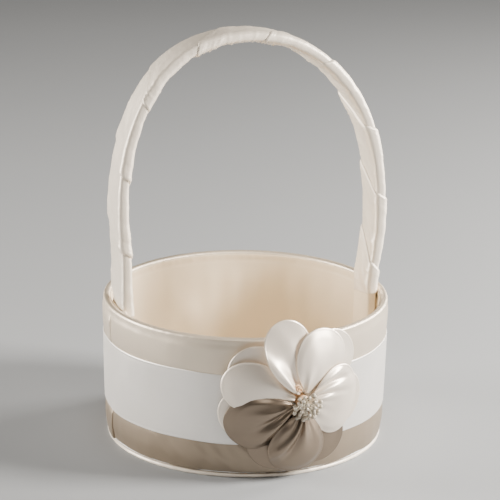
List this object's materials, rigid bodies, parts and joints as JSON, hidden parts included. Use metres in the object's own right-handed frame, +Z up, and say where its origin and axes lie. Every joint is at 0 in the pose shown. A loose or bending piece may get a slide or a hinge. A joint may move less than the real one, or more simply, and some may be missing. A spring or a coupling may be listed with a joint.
{
  "type": "flower girl basket",
  "caption": "Round satin-covered flower girl basket with a wrapped hoop handle, a ribbon band and a layered satin flower with stamens.",
  "frame": {"origin": "centre of the bowl's underside, on the surface it stands on", "axes": "+Z up, X from handle leg to handle leg, -Y towards the flower"},
  "size_m": [0.1514, 0.1703, 0.2174],
  "materials": {
    "cover_satin": "champagne satin, soft sheen",
    "lining_satin": "warm cream satin, soft sheen",
    "ribbon_satin": "white satin ribbon, bright sheen",
    "wrap_satin": "ivory satin ribbon, soft sheen",
    "petal_satin": "ivory satin, bright sheen",
    "taupe_satin": "taupe satin, bright sheen",
    "felt": "white felt",
    "batting": "white polyester batting",
    "chipboard": "plain grey-brown board",
    "handle_strip": "extruded plastic strip",
    "staple_steel": "bright staple wire",
    "tie_thread": "wound peach thread",
    "stamen_thread": "stiffened cotton thread",
    "stamen_pearl": "pearl cream lacquer"
  },
  "bodies": {
    "root": {"base_cover": "cover_satin", "base_board": "chipboard", "wall_board": "chipboard", "wall_padding": "batting", "rim_padding": "batting", "outer_cover": "cover_satin", "cover_lap": "cover_satin", "wall_lining": "lining_satin", "floor_board": "chipboard", "floor_lining": "lining_satin", "ribbon_band": "ribbon_satin", "handle_core": "handle_strip", "handle_wrap": "wrap_satin", "left_tail_cover": "lining_satin", "right_tail_cover": "lining_satin", "handle_staples": "staple_steel", "flower_backing": "felt", "flower_tie": "tie_thread", "stamen_stems": "stamen_thread", "stamen_heads": "stamen_pearl", "back_petal_1": "petal_satin", "back_petal_2": "petal_satin", "back_petal_3": "petal_satin", "back_petal_4": "petal_satin", "back_petal_5": "taupe_satin", "back_petal_6": "taupe_satin", "front_petal_1": "petal_satin", "front_petal_2": "petal_satin", "front_petal_3": "petal_satin", "front_petal_4": "petal_satin", "front_petal_5": "taupe_satin", "front_petal_6": "taupe_satin"}
  },
  "joints": []
}
